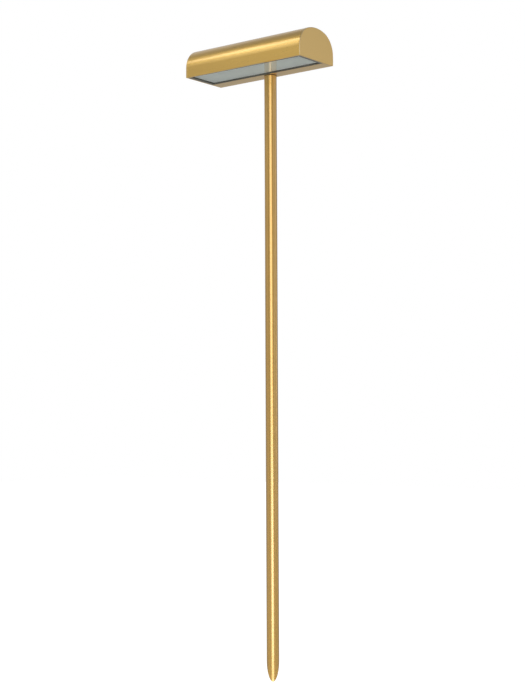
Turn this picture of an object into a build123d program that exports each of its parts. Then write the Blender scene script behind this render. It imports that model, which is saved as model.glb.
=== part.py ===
from build123d import *

import os
from math import sqrt

# A garden light on a spike: a slim brass tube, cut off on the slant to enter the soil, carries a
# long brass head with an arched back.  An LED board behind opal glass lights the ground below.
# The head turns about the stem on a spigot, and a screw in its rear face locks it.
#
# Millimetres, +Z up.  The origin is on the stem's axis at the ground line.  The head's length
# runs along X, and its wide side hangs out towards -Y.

# ---------------------------------------------------------------- driving dimensions: stem
STEM_DIAMETER = 12.0
STEM_WALL = 1.0
CLEAR_HEIGHT = 400.0            # ground line up to the head's underside
GROUND_DEPTH = 180.0            # ground line down to the tip
SLASH_HEIGHT = 39.0             # height over which the slanted cut opens
TIP_LAND = 0.1                  # thickness of wall that is left on at the very tip
TIP_BEARING = 37.8              # the tip's direction, in degrees from -Y towards +X

# ---------------------------------------------------------------- driving dimensions: head
HEAD_LENGTH = 138.0
HEAD_WIDTH = 53.0
HEAD_HEIGHT = 30.5
SIDE_HEIGHT = 9.2               # upright part of the front and rear walls
CROWN_EASE = 1.0                # shoulder arcs are tighter than the arch's rise by this
SHELL_WALL = 2.0
END_PLATE = 1.4
STEM_FROM_REAR = 7.7            # the stem's axis in front of the head's rear face
LIP_WALL = 1.5                  # upstand along the inner edge of the rear rim
LIP_HEIGHT = 9.0
EDGE_BREAK = 0.4                # outer edges are eased by this much

# ---------------------------------------------------------------- clearances
SOLDER_GAP = 0.05               # radial gap of a soldered or bonded joint
TURNING_GAP = 0.05              # radial gap of the spigot in its socket, and its end float
LOOSE_GAP = 0.6                 # all round a part that drops in from below
SCREW_GAP = 0.1                 # radial gap round a screw in a plain hole

# ---------------------------------------------------------------- swivel joint
SEAL_WASHER = 0.45
SEAL_DIAMETER = 12.2
SPIGOT_DIAMETER = 7.0
SPIGOT_IN_TUBE = 16.0
SPIGOT_ABOVE = 1.0              # stands above the socket
SOCKET_LENGTH = 16.0            # along X
SOCKET_HEIGHT = 12.0            # top of the socket above the underside
SOCKET_WALL = 1.35              # in front of the spigot's bore
LOCK_SCREW_DIAMETER = 4.0
LOCK_SCREW_HEIGHT = 7.0         # its axis above the underside
LOCK_SCREW_RECESS = 0.4         # below the rear face
LOCK_POINT_DIAMETER = 2.2
LOCK_POINT_LENGTH = 1.2
GROOVE_DEPTH = 0.4
GROOVE_WIDTH = 2.6
HEX_KEY = 2.0
HEX_DEPTH = 1.8

# ---------------------------------------------------------------- cable in the stem
CABLE_DIAMETER = 4.0
CABLE_GAP = 0.2                 # radial gap in the spigot's bore
CABLE_ABOVE = 1.5               # jacket stands above the spigot
CABLE_END = 0.0                 # height of the jacket's lower end
SPLICE_DIAMETER = 6.4
SPLICE_LENGTH = 30.0
SPLICE_NOSE = 5.0               # shrunk ends of the sleeve
INLET_DEPTH = 40.0              # cable inlet below the ground line
INLET_HOLE = 6.6
INLET_BORE = 4.2
BUSH_INSIDE = 1.8               # the bush stands this far inside the tube's wall
BUSH_RECESS = 0.3               # and is set in by this much outside
PLUG_LENGTH = 10.0
PLUG_ABOVE_CUT = 8.0

# ---------------------------------------------------------------- glass, diffuser, tray
GLASS_RECESS = 0.9
GLASS_THICKNESS = 3.0
GLASS_CORNER = 1.0
SEAL_LINE = 1.25                # visible width of the sealant along the sides
SEAL_END = 3.0                  # and at the ends
SEAL_RECESS = 0.1
DIFFUSER_THICKNESS = 1.5
TRAY_WALL = 1.5
TRAY_HEIGHT = 7.6
MOUTH_END_INSET = 5.0           # the tray's mouth inside the ends of the opening
MOUTH_SIDE_INSET = 3.95         # and inside its sides
NECK_END_INSET = 8.0            # the tray's neck inside the ends of the LED board
NECK_SIDE_INSET = 2.0           # and inside its sides

# ---------------------------------------------------------------- LED board and carrier
BOARD_END_INSET = 13.0          # the LED board inside the ends of the opening
BOARD_SIDE_INSET = 6.45         # and inside its sides
BOARD_THICKNESS = 1.6
LED_COUNT = 11
LED_END_INSET = 14.0            # the last LEDs inside the ends of the board
LED_SIDE = 3.0
LED_HEIGHT = 0.7
LED_DOME = 2.4
PAD_THICKNESS = 0.5
PAD_MARGIN = 1.0
CARRIER_END_INSET = 4.0         # the carrier inside the ends of the opening
CARRIER_SIDE_INSET = 4.45       # and inside its sides
CARRIER_THICKNESS = 2.0
BOARD_SCREW_DIAMETER = 2.5
BOARD_SCREW_HEAD = 4.6
BOARD_SCREW_HEAD_HEIGHT = 1.6
BOARD_SCREW_INSET = 3.5         # inside the sides of the tray's neck
CARRIER_SCREW_DIAMETER = 3.0
CARRIER_SCREW_HEAD = 5.5
CARRIER_SCREW_HEAD_HEIGHT = 1.9
CARRIER_SCREW_BITE = 5.0
CARRIER_SCREW_END = 5.0         # inside the carrier's ends
CARRIER_SCREW_SIDE = 3.5        # and inside its sides
STANDOFF_DIAMETER = 6.0

# ---------------------------------------------------------------- driver
DRIVER_LENGTH = 66.0
DRIVER_WIDTH = 20.0
DRIVER_THICKNESS = 1.6
DRIVER_X = 3.0                  # middle of the driver board
DRIVER_FORWARD = 3.0            # its middle in front of the head's centre line
SPACER_HEIGHT = 3.0
SPACER_DIAMETER = 5.0
DRIVER_SCREW_END = 3.0          # inside the driver board's ends
DRIVER_SCREW_SIDE = 2.6         # and inside its sides
INDUCTOR_FROM_LEFT = 19.8       # middle of the inductor from the board's left end
INDUCTOR_SIDE = 8.0
INDUCTOR_HEIGHT = 4.2
CAPACITOR_FROM_LEFT = 42.5      # middle of the first can from the board's left end
CAPACITOR_PITCH = 7.5
CAPACITOR_DIAMETER = 6.3
CAPACITOR_HEIGHT = 4.4
CAPACITOR_BASE = 0.6
CHIP_FROM_LEFT = 11.8           # middle of the first chip from the board's left end
CHIP_PITCH = 20.0
CHIP_FORWARD = 4.0              # in front of the board's middle
CHIP_LENGTH = 5.0
CHIP_WIDTH = 4.0
CHIP_HEIGHT = 1.5
TERMINAL_PITCH = 3.5
TERMINAL_DEPTH = 7.0
TERMINAL_HEIGHT = 5.0
TERMINAL_SCREW = 2.0

# ---------------------------------------------------------------- wires in the head
WIRE_DIAMETER = 1.4
CORE_SPREAD = 0.9               # the two cores lie this far from the stem's axis
LED_LEAD_SPREAD = 1.25
PLATE_GROMMET_BORE = 4.2
PLATE_GROMMET_NECK = 5.8
PLATE_GROMMET_FLANGE = 7.4
PLATE_GROMMET_LAYER = 0.8
WIRE_BEND = 2.4

# ---------------------------------------------------------------- worked out from the above
UNDERSIDE = CLEAR_HEIGHT
TIP = -GROUND_DEPTH
STEM_RADIUS = STEM_DIAMETER / 2
BORE_RADIUS = STEM_RADIUS - STEM_WALL
STEM_TOP = UNDERSIDE - TURNING_GAP - SEAL_WASHER
CUT_TOP = TIP + SLASH_HEIGHT
HALF_WIDTH = HEAD_WIDTH / 2
REAR_FACE = STEM_FROM_REAR
HEAD_Y = REAR_FACE - HALF_WIDTH
REAR_WALL = REAR_FACE - SHELL_WALL
FRONT_WALL = HEAD_Y - HALF_WIDTH + SHELL_WALL
SPIGOT_HOLE = SPIGOT_DIAMETER / 2 + TURNING_GAP
SOCKET_FRONT = -SPIGOT_HOLE - SOCKET_WALL
RIM_EDGE = SOCKET_FRONT - LIP_WALL
OPENING_X = HEAD_LENGTH / 2 - END_PLATE
OPENING_Y = (FRONT_WALL + RIM_EDGE) / 2
OPENING_WIDTH = RIM_EDGE - FRONT_WALL
SOCKET_TOP = UNDERSIDE + SOCKET_HEIGHT
SPIGOT_TOP = SOCKET_TOP + SPIGOT_ABOVE
SPIGOT_BORE = CABLE_DIAMETER / 2 + CABLE_GAP
CABLE_TOP = SPIGOT_TOP + CABLE_ABOVE
GLASS_LOW = UNDERSIDE + GLASS_RECESS
GLASS_TOP = GLASS_LOW + GLASS_THICKNESS
DIFFUSER_TOP = GLASS_TOP + DIFFUSER_THICKNESS
BOARD_LOW = DIFFUSER_TOP + TRAY_HEIGHT
BOARD_TOP = BOARD_LOW + BOARD_THICKNESS
BOARD_LENGTH = 2 * (OPENING_X - BOARD_END_INSET)
BOARD_WIDTH = OPENING_WIDTH - 2 * BOARD_SIDE_INSET
NECK_LENGTH = BOARD_LENGTH - 2 * NECK_END_INSET
NECK_WIDTH = BOARD_WIDTH - 2 * NECK_SIDE_INSET
LED_PITCH = (BOARD_LENGTH - 2 * LED_END_INSET) / (LED_COUNT - 1)
CARRIER_LOW = BOARD_TOP + PAD_THICKNESS
CARRIER_TOP = CARRIER_LOW + CARRIER_THICKNESS
CARRIER_LENGTH = 2 * (OPENING_X - CARRIER_END_INSET)
CARRIER_WIDTH = OPENING_WIDTH - 2 * CARRIER_SIDE_INSET
LED_LEAD_X = CARRIER_LENGTH / 2 - CARRIER_SCREW_END
DRIVER_LOW = CARRIER_TOP + SPACER_HEIGHT
DRIVER_TOP = DRIVER_LOW + DRIVER_THICKNESS
DRIVER_MID_Y = HEAD_Y - DRIVER_FORWARD
DRIVER_REAR = DRIVER_MID_Y + DRIVER_WIDTH / 2
DRIVER_LEFT = DRIVER_X - DRIVER_LENGTH / 2
TERMINAL_MID_Y = DRIVER_REAR - TERMINAL_DEPTH / 2
TERMINAL_ENTRY = DRIVER_TOP + TERMINAL_HEIGHT / 2
TERMINAL_TOP = DRIVER_TOP + TERMINAL_HEIGHT


# ---------------------------------------------------------------- plain shapes
def bar(radius, low, high, x=0.0, y=0.0):
    """An upright round bar between two heights."""
    return Pos(x, y, (low + high) / 2) * Cylinder(radius, high - low)


def ring(outer, inner, low, high, x=0.0, y=0.0):
    """An upright round tube between two heights."""
    return bar(outer, low, high, x, y) - bar(inner, low - 1, high + 1, x, y)


def block(x, y, z):
    """A square block between the two ends given for each axis."""
    middle = Pos((x[0] + x[1]) / 2, (y[0] + y[1]) / 2, (z[0] + z[1]) / 2)
    return middle * Box(x[1] - x[0], y[1] - y[0], z[1] - z[0])


def slab(length, width, low, high, x=0.0, y=OPENING_Y):
    """A flat plate of the given length and width about a middle point."""
    return block((x - length / 2, x + length / 2), (y - width / 2, y + width / 2), (low, high))


def rear_bar(radius, near, far, z, x=0.0):
    """A round bar that lies along Y."""
    return Pos(x, (near + far) / 2, z) * Rot(90, 0, 0) * Cylinder(radius, far - near)


def wire(points, bends):
    """A round wire along straight runs that are joined by arcs."""
    path = FilletPolyline(*points, radius=bends)
    section = Plane(origin=path @ 0, z_dir=path % 0) * Circle(WIRE_DIAMETER / 2)
    return sweep(section, path=path)


def corners(spread_x, spread_y, x=0.0, y=OPENING_Y):
    """The four places at the corners of a rectangle."""
    return [(x + i * spread_x, y + j * spread_y) for i in (-1, 1) for j in (-1, 1)]


# ---------------------------------------------------------------- the head's arched outline
def arch(inset, bottom):
    """The head's cross-section in Y and Z, drawn in by an inset and closed along its bottom."""
    rise = HEAD_HEIGHT - SIDE_HEIGHT
    shoulder = rise - CROWN_EASE
    crown = HALF_WIDTH + (HALF_WIDTH - rise) ** 2 / (2 * CROWN_EASE)
    spring = UNDERSIDE + SIDE_HEIGHT
    shoulder_y = HALF_WIDTH - shoulder
    crown_z = UNDERSIDE + HEAD_HEIGHT - crown
    reach = crown - shoulder
    lean_y = shoulder_y / reach
    lean_z = (spring - crown_z) / reach
    meet_y = (crown - inset) * lean_y
    meet_z = crown_z + (crown - inset) * lean_z
    small = shoulder - inset
    middle = sqrt((1 + lean_y) ** 2 + lean_z**2)
    mid_y = shoulder_y + small * (1 + lean_y) / middle
    mid_z = spring + small * lean_z / middle
    edge = HALF_WIDTH - inset
    top = UNDERSIDE + HEAD_HEIGHT - inset

    def at(y, z):
        return (HEAD_Y + y, z)

    outline = [
        Line(at(-edge, bottom), at(-edge, spring)),
        ThreePointArc(at(-edge, spring), at(-mid_y, mid_z), at(-meet_y, meet_z)),
        ThreePointArc(at(-meet_y, meet_z), at(0, top), at(meet_y, meet_z)),
        ThreePointArc(at(meet_y, meet_z), at(mid_y, mid_z), at(edge, spring)),
        Line(at(edge, spring), at(edge, bottom)),
        Line(at(edge, bottom), at(-edge, bottom)),
    ]
    return make_face(outline)


def along_x(profile, low, high):
    """A cross-section in Y and Z made a solid between two places along X."""
    return extrude(Plane.YZ.offset(low) * profile, high - low)


def inner_space():
    """All the room inside the shell's walls, between the end plates."""
    return along_x(arch(SHELL_WALL, UNDERSIDE - 1), -OPENING_X, OPENING_X)


# ---------------------------------------------------------------- stem
def slash_cutter():
    """All that the slanted cut takes off the tube's lower end."""
    spare = STEM_RADIUS
    near = STEM_RADIUS - TIP_LAND
    slope = SLASH_HEIGHT / STEM_DIAMETER
    far = -STEM_RADIUS - spare
    points = [(near, TIP), (far, TIP + (near - far) * slope), (far, TIP - spare), (near, TIP - spare)]
    wedge = extrude(Plane.XZ * make_face(Polyline(*points, close=True)), STEM_DIAMETER, both=True)
    return Rot(0, 0, TIP_BEARING - 90) * wedge


def stem_tube():
    """The plain tube, cut on the slant below and bored at the rear for the cable."""
    tube = ring(STEM_RADIUS, BORE_RADIUS, TIP, STEM_TOP)
    inlet = rear_bar(INLET_HOLE / 2, 0, STEM_DIAMETER, -INLET_DEPTH)
    return tube - slash_cutter() - inlet


def stem_spigot():
    """A turned plug in the tube's top with the neck on which the head turns."""
    foot = bar(BORE_RADIUS - SOLDER_GAP, STEM_TOP - SPIGOT_IN_TUBE, STEM_TOP)
    neck = bar(SPIGOT_DIAMETER / 2, STEM_TOP, SPIGOT_TOP)
    passage = bar(SPIGOT_BORE, STEM_TOP - SPIGOT_IN_TUBE - 1, SPIGOT_TOP + 1)
    middle = UNDERSIDE + LOCK_SCREW_HEIGHT
    floor = SPIGOT_DIAMETER / 2 - GROOVE_DEPTH
    groove = ring(SPIGOT_DIAMETER, floor, middle - GROOVE_WIDTH / 2, middle + GROOVE_WIDTH / 2)
    return foot + neck - passage - groove


def seal_washer():
    """A rubber washer squeezed between the stem's end and the head."""
    return ring(SEAL_DIAMETER / 2, SPIGOT_DIAMETER / 2, STEM_TOP, STEM_TOP + SEAL_WASHER)


def stem_cable():
    """The two-core cable up the middle of the stem, which ends just above the spigot."""
    return bar(CABLE_DIAMETER / 2, CABLE_END, CABLE_TOP)


def cable_splice():
    """A shrunk sleeve over the cable's lower end, where a supply cord is joined."""
    low = CABLE_END - SPLICE_LENGTH / 2
    high = CABLE_END + SPLICE_LENGTH / 2
    body = bar(SPLICE_DIAMETER / 2, low + SPLICE_NOSE, high - SPLICE_NOSE)
    nose = CABLE_DIAMETER / 2 + STEM_WALL / 2
    upper = Pos(0, 0, high - SPLICE_NOSE / 2) * Cone(SPLICE_DIAMETER / 2, nose, SPLICE_NOSE)
    lower = Pos(0, 0, low + SPLICE_NOSE / 2) * Cone(nose, SPLICE_DIAMETER / 2, SPLICE_NOSE)
    return body + upper + lower - bar(CABLE_DIAMETER / 2, CABLE_END, high + 1)


def inlet_bush():
    """A rubber bush bonded in the rear of the stem, set in so that the soil can't catch it."""
    near = BORE_RADIUS - BUSH_INSIDE
    outline = bar(STEM_RADIUS - BUSH_RECESS, -INLET_DEPTH - INLET_HOLE, -INLET_DEPTH + INLET_HOLE)
    body = rear_bar(INLET_HOLE / 2, near, STEM_DIAMETER, -INLET_DEPTH) & outline
    return body - rear_bar(INLET_BORE / 2, near - 1, STEM_DIAMETER, -INLET_DEPTH)


def spike_plug():
    """A resin plug that keeps soil and water out of the tube above the slanted cut."""
    low = CUT_TOP + PLUG_ABOVE_CUT
    return bar(BORE_RADIUS - SOLDER_GAP, low, low + PLUG_LENGTH)


# ---------------------------------------------------------------- head: shell and swivel
def lowest_lines(piece):
    """The front and the rear edge of a piece's underside."""
    lines = piece.edges().filter_by(Axis.X).group_by(Axis.Z)[0].sort_by(Axis.Y)
    return [lines[0], lines[-1]]


def head_shell():
    """Arched back, front and rear walls, rear rim and its upstand, formed as one profile."""
    outside = arch(0, UNDERSIDE)
    room = arch(SHELL_WALL, UNDERSIDE - 1)
    rim = Pos((RIM_EDGE + REAR_WALL) / 2, UNDERSIDE + SHELL_WALL / 2)
    rim = rim * Rectangle(REAR_WALL - RIM_EDGE, SHELL_WALL)
    lip = Pos(RIM_EDGE + LIP_WALL / 2, UNDERSIDE + LIP_HEIGHT / 2) * Rectangle(LIP_WALL, LIP_HEIGHT)
    shell = along_x(outside - room + rim + lip, -OPENING_X, OPENING_X)
    shell = chamfer(lowest_lines(shell), EDGE_BREAK)
    hole = bar(SPIGOT_HOLE, UNDERSIDE - 1, UNDERSIDE + SHELL_WALL + 1)
    return shell - hole - lock_screw_hole()


def lock_screw_hole():
    """The way for the lock screw from the rear face in to the spigot."""
    return rear_bar(LOCK_SCREW_DIAMETER / 2, 0, REAR_FACE + 1, UNDERSIDE + LOCK_SCREW_HEIGHT)


def end_plate(side):
    """A flat plate that closes one end of the shell, flush with its outline."""
    plate = along_x(arch(0, UNDERSIDE), OPENING_X, OPENING_X + END_PLATE)
    plate = chamfer(lowest_lines(plate), EDGE_BREAK)
    rim = plate.faces().sort_by(Axis.X)[-1].edges()
    plate = chamfer(rim, EDGE_BREAK)
    if side < 0:
        plate = mirror(plate, about=Plane.YZ)
    return plate


def swivel_socket():
    """A block brazed in the rear channel of the shell, bored for the spigot."""
    body = block(
        (-SOCKET_LENGTH / 2, SOCKET_LENGTH / 2),
        (SOCKET_FRONT, REAR_WALL),
        (UNDERSIDE + SHELL_WALL, SOCKET_TOP),
    )
    body = body & inner_space()
    bore = bar(SPIGOT_HOLE, UNDERSIDE, SOCKET_TOP + 1)
    return body - bore - lock_screw_hole()


def lock_screw():
    """A headless screw whose point sits in the spigot's groove."""
    height = UNDERSIDE + LOCK_SCREW_HEIGHT
    point = SPIGOT_DIAMETER / 2 - GROOVE_DEPTH + TURNING_GAP
    neck = point + LOCK_POINT_LENGTH
    end = REAR_FACE - LOCK_SCREW_RECESS
    body = rear_bar(LOCK_SCREW_DIAMETER / 2, neck, end, height)
    body = body + rear_bar(LOCK_POINT_DIAMETER / 2, point, neck, height)
    key = extrude(RegularPolygon(HEX_KEY / 2, 6, major_radius=False), HEX_DEPTH)
    return body - Pos(0, end, height) * Rot(90, 0, 0) * key


# ---------------------------------------------------------------- head: glass and optics
def glass_outline(low, high):
    """The glass's place: the opening less the sealant line all round."""
    length = 2 * (OPENING_X - SEAL_END)
    width = OPENING_WIDTH - 2 * SEAL_LINE
    return slab(length, width, low, high)


def lens_glass():
    """The toughened pane, set up into the opening."""
    pane = glass_outline(GLASS_LOW, GLASS_TOP)
    return fillet(pane.edges().filter_by(Axis.Z), GLASS_CORNER)


def lens_seal():
    """The bead of sealant between the pane and the walls."""
    low = UNDERSIDE + SEAL_RECESS
    bead = slab(2 * OPENING_X, OPENING_WIDTH, low, GLASS_TOP)
    gap = glass_outline(low - 1, GLASS_TOP + 1)
    return bead - fillet(gap.edges().filter_by(Axis.Z), GLASS_CORNER)


def diffuser():
    """An opal sheet that lies on the pane."""
    length = 2 * (OPENING_X - LOOSE_GAP)
    width = OPENING_WIDTH - 2 * LOOSE_GAP
    return slab(length, width, GLASS_TOP, DIFFUSER_TOP)


def mouth_size():
    """Length and width of the tray's mouth."""
    return (2 * (OPENING_X - MOUTH_END_INSET), OPENING_WIDTH - 2 * MOUTH_SIDE_INSET)


def funnel(grow):
    """The tray's sloping form from its wide mouth up to its neck."""
    length, width = mouth_size()
    mouth = Rectangle(length + 2 * grow, width + 2 * grow)
    neck = Rectangle(NECK_LENGTH + 2 * grow, NECK_WIDTH + 2 * grow)
    low = Pos(0, OPENING_Y, DIFFUSER_TOP + TRAY_WALL)
    high = Pos(0, OPENING_Y, BOARD_LOW)
    return loft([low * mouth, high * neck])


def reflector_tray():
    """A white tray held between the LED board and the diffuser."""
    length = 2 * (OPENING_X - LOOSE_GAP)
    width = OPENING_WIDTH - 2 * LOOSE_GAP
    flange = slab(length, width, DIFFUSER_TOP, DIFFUSER_TOP + TRAY_WALL)
    mouth = slab(*mouth_size(), DIFFUSER_TOP - 1, DIFFUSER_TOP + TRAY_WALL)
    return flange - mouth + (funnel(TRAY_WALL) - funnel(0))


# ---------------------------------------------------------------- head: LED board and carrier
def board_screw_places():
    """Where the LED board is screwed to the carrier."""
    half_pitch = LED_PITCH / 2
    last = (LED_COUNT - 1) * half_pitch
    return corners(last - half_pitch, NECK_WIDTH / 2 - BOARD_SCREW_INSET)


def carrier_screw_places():
    """Where the carrier is screwed to the standoffs."""
    spread_x = CARRIER_LENGTH / 2 - CARRIER_SCREW_END
    return corners(spread_x, CARRIER_WIDTH / 2 - CARRIER_SCREW_SIDE)


def led_board():
    """The metal-cored board."""
    board = slab(BOARD_LENGTH, BOARD_WIDTH, BOARD_LOW, BOARD_TOP)
    radius = BOARD_SCREW_DIAMETER / 2 + SCREW_GAP
    for x, y in board_screw_places():
        board = board - bar(radius, BOARD_LOW - 1, BOARD_TOP + 1, x, y)
    return board


def thermal_pad():
    """The soft pad between board and carrier."""
    margin = 2 * PAD_MARGIN
    pad = slab(BOARD_LENGTH - margin, BOARD_WIDTH - margin, BOARD_TOP, CARRIER_LOW)
    radius = BOARD_SCREW_DIAMETER / 2 + SCREW_GAP
    for x, y in board_screw_places():
        pad = pad - bar(radius, BOARD_TOP - 1, CARRIER_LOW + 1, x, y)
    return pad


def led_emitters():
    """A row of LEDs, each a square body with a round window."""
    row = []
    for index in range(LED_COUNT):
        x = (index - (LED_COUNT - 1) / 2) * LED_PITCH
        body = slab(LED_SIDE, LED_SIDE, BOARD_LOW - LED_HEIGHT, BOARD_LOW, x)
        half = LED_HEIGHT / 2
        window = bar(LED_DOME / 2, BOARD_LOW - LED_HEIGHT - 1, BOARD_LOW - half, x, OPENING_Y)
        lens = bar(LED_DOME / 2, BOARD_LOW - LED_HEIGHT - half / 2, BOARD_LOW - half, x, OPENING_Y)
        row.append(body - window + lens)
    return row


def cap_screw(diameter, head, head_height, seat, end, x, y):
    """A screw that hangs from its head under a seat and points up."""
    shank = bar(diameter / 2, seat, end, x, y)
    cap = bar(head / 2, seat - head_height, seat, x, y)
    cap = chamfer(cap.edges().group_by(Axis.Z)[0], head_height / 4)
    key = extrude(RegularPolygon(diameter / 3, 6), head_height / 2)
    return shank + cap - Pos(x, y, seat - head_height) * key


def board_screws():
    """The screws of the LED board."""
    size = (BOARD_SCREW_DIAMETER, BOARD_SCREW_HEAD, BOARD_SCREW_HEAD_HEIGHT)
    return [cap_screw(*size, BOARD_LOW, CARRIER_TOP, x, y) for x, y in board_screw_places()]


def carrier_screws():
    """The screws of the carrier plate."""
    size = (CARRIER_SCREW_DIAMETER, CARRIER_SCREW_HEAD, CARRIER_SCREW_HEAD_HEIGHT)
    end = CARRIER_TOP + CARRIER_SCREW_BITE
    return [cap_screw(*size, CARRIER_LOW, end, x, y) for x, y in carrier_screw_places()]


def standoffs():
    """Threaded posts brazed inside the arch, cut to its curve."""
    posts = []
    space = inner_space()
    for x, y in carrier_screw_places():
        post = bar(STANDOFF_DIAMETER / 2, CARRIER_TOP, UNDERSIDE + HEAD_HEIGHT, x, y) & space
        hole = bar(CARRIER_SCREW_DIAMETER / 2, CARRIER_TOP - 1, CARRIER_TOP + CARRIER_SCREW_BITE, x, y)
        posts.append(post - hole)
    return posts


def carrier_plate():
    """The aluminium plate that carries board and driver and leads heat to the shell."""
    plate = slab(CARRIER_LENGTH, CARRIER_WIDTH, CARRIER_LOW, CARRIER_TOP)
    plate = fillet(plate.edges().filter_by(Axis.Z), CARRIER_THICKNESS)
    holes = [(BOARD_SCREW_DIAMETER / 2, x, y) for x, y in board_screw_places()]
    loose = CARRIER_SCREW_DIAMETER / 2 + SCREW_GAP
    holes += [(loose, x, y) for x, y in carrier_screw_places()]
    holes += [(BOARD_SCREW_DIAMETER / 2, x, y) for x, y in driver_screw_places()]
    holes.append((PLATE_GROMMET_NECK / 2, -LED_LEAD_X, OPENING_Y))
    for radius, x, y in holes:
        plate = plate - bar(radius, CARRIER_LOW - 1, CARRIER_TOP + 1, x, y)
    return plate


def plate_grommet():
    """A rubber grommet that guards the LED leads where they pass the plate."""
    x, y = -LED_LEAD_X, OPENING_Y
    neck = bar(PLATE_GROMMET_NECK / 2, CARRIER_LOW, CARRIER_TOP, x, y)
    above = bar(PLATE_GROMMET_FLANGE / 2, CARRIER_TOP, CARRIER_TOP + PLATE_GROMMET_LAYER, x, y)
    below = bar(PLATE_GROMMET_FLANGE / 2, CARRIER_LOW - PLATE_GROMMET_LAYER, CARRIER_LOW, x, y)
    bore = bar(PLATE_GROMMET_BORE / 2, CARRIER_LOW - 2, CARRIER_TOP + 2, x, y)
    return neck + above + below - bore


# ---------------------------------------------------------------- head: driver
def driver_screw_places():
    """Where the driver board stands on the carrier."""
    spread_x = DRIVER_LENGTH / 2 - DRIVER_SCREW_END
    return corners(spread_x, DRIVER_WIDTH / 2 - DRIVER_SCREW_SIDE, DRIVER_X, DRIVER_MID_Y)


def driver_board():
    """The circuit board of the constant-current driver."""
    board = slab(DRIVER_LENGTH, DRIVER_WIDTH, DRIVER_LOW, DRIVER_TOP, DRIVER_X, DRIVER_MID_Y)
    radius = BOARD_SCREW_DIAMETER / 2 + SCREW_GAP
    for x, y in driver_screw_places():
        board = board - bar(radius, DRIVER_LOW - 1, DRIVER_TOP + 1, x, y)
    return board


def driver_spacers():
    """Nylon tubes that hold the driver off the metal plate."""
    inner = BOARD_SCREW_DIAMETER / 2 + SCREW_GAP
    outer = SPACER_DIAMETER / 2
    return [ring(outer, inner, CARRIER_TOP, DRIVER_LOW, x, y) for x, y in driver_screw_places()]


def driver_screws():
    """Screws from above through board and spacers into the plate."""
    screws = []
    for x, y in driver_screw_places():
        low = CARRIER_LOW
        shank = bar(BOARD_SCREW_DIAMETER / 2, low, DRIVER_TOP, x, y)
        head = bar(BOARD_SCREW_HEAD / 2, DRIVER_TOP, DRIVER_TOP + BOARD_SCREW_HEAD_HEIGHT, x, y)
        head = chamfer(head.edges().group_by(Axis.Z)[-1], BOARD_SCREW_HEAD_HEIGHT / 4)
        screws.append(shank + head)
    return screws


def driver_inductor():
    """A shielded coil in a square case with eased corners."""
    x = DRIVER_LEFT + INDUCTOR_FROM_LEFT
    top = DRIVER_TOP + INDUCTOR_HEIGHT
    case = slab(INDUCTOR_SIDE, INDUCTOR_SIDE, DRIVER_TOP, top, x, DRIVER_MID_Y)
    case = chamfer(case.edges().filter_by(Axis.Z), INDUCTOR_SIDE / 6)
    dish = bar(INDUCTOR_SIDE / 3, top - CAPACITOR_BASE, top + 1, x, DRIVER_MID_Y)
    return case - dish


def driver_capacitors():
    """Two can capacitors on their square bases."""
    cans = []
    for step in (0, 1):
        x = DRIVER_LEFT + CAPACITOR_FROM_LEFT + step * CAPACITOR_PITCH
        side = CAPACITOR_DIAMETER + CAPACITOR_BASE
        base = slab(side, side, DRIVER_TOP, DRIVER_TOP + CAPACITOR_BASE, x, DRIVER_MID_Y)
        low = DRIVER_TOP + CAPACITOR_BASE
        can = bar(CAPACITOR_DIAMETER / 2, low, DRIVER_TOP + CAPACITOR_HEIGHT, x, DRIVER_MID_Y)
        can = chamfer(can.edges().group_by(Axis.Z)[-1], CAPACITOR_BASE)
        cans.append(base + can)
    return cans


def driver_chips():
    """The controller and the input rectifier."""
    chips = []
    for step in (0, 1):
        x = DRIVER_LEFT + CHIP_FROM_LEFT + step * CHIP_PITCH
        top = DRIVER_TOP + CHIP_HEIGHT
        chip = slab(CHIP_LENGTH, CHIP_WIDTH, DRIVER_TOP, top, x, DRIVER_MID_Y - CHIP_FORWARD)
        chips.append(chamfer(chip.edges().group_by(Axis.Z)[-1], CHIP_HEIGHT / 6))
    return chips


def terminal_ways():
    """Places along X of the terminal's two ways."""
    return [-TERMINAL_PITCH / 2, TERMINAL_PITCH / 2]


def terminal_block():
    """The two-way terminal at the driver's rear edge."""
    half = TERMINAL_PITCH
    front = DRIVER_REAR - TERMINAL_DEPTH
    body = block((-half, half), (front, DRIVER_REAR), (DRIVER_TOP, TERMINAL_TOP))
    low = TERMINAL_TOP - TERMINAL_SCREW / 2
    for x in terminal_ways():
        body = body - rear_bar(WIRE_DIAMETER / 2, TERMINAL_MID_Y, DRIVER_REAR + 1, TERMINAL_ENTRY, x)
        body = body - bar(TERMINAL_SCREW / 2, low, TERMINAL_TOP + 1, x, TERMINAL_MID_Y)
    return body


def terminal_screws():
    """The two clamping screws in the terminal's top."""
    radius = TERMINAL_SCREW / 2
    middle = TERMINAL_TOP - radius / 2
    screws = []
    for x in terminal_ways():
        screw = bar(radius, TERMINAL_TOP - radius, TERMINAL_TOP, x, TERMINAL_MID_Y)
        slot = slab(2 * TERMINAL_SCREW, radius / 2, middle, TERMINAL_TOP + 1, x, TERMINAL_MID_Y)
        screws.append(screw - slot)
    return screws


# ---------------------------------------------------------------- head: wires
def supply_core(side):
    """One core from the end of the stem's cable over to the terminal."""
    start = side * CORE_SPREAD
    end = side * TERMINAL_PITCH / 2
    turn = (RIM_EDGE + DRIVER_REAR) / 2
    points = [
        (start, 0, CABLE_TOP),
        (start, 0, CABLE_TOP + 2 * WIRE_BEND),
        (end, turn, TERMINAL_ENTRY),
        (end, TERMINAL_MID_Y, TERMINAL_ENTRY),
    ]
    return wire(points, WIRE_BEND)


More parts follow.
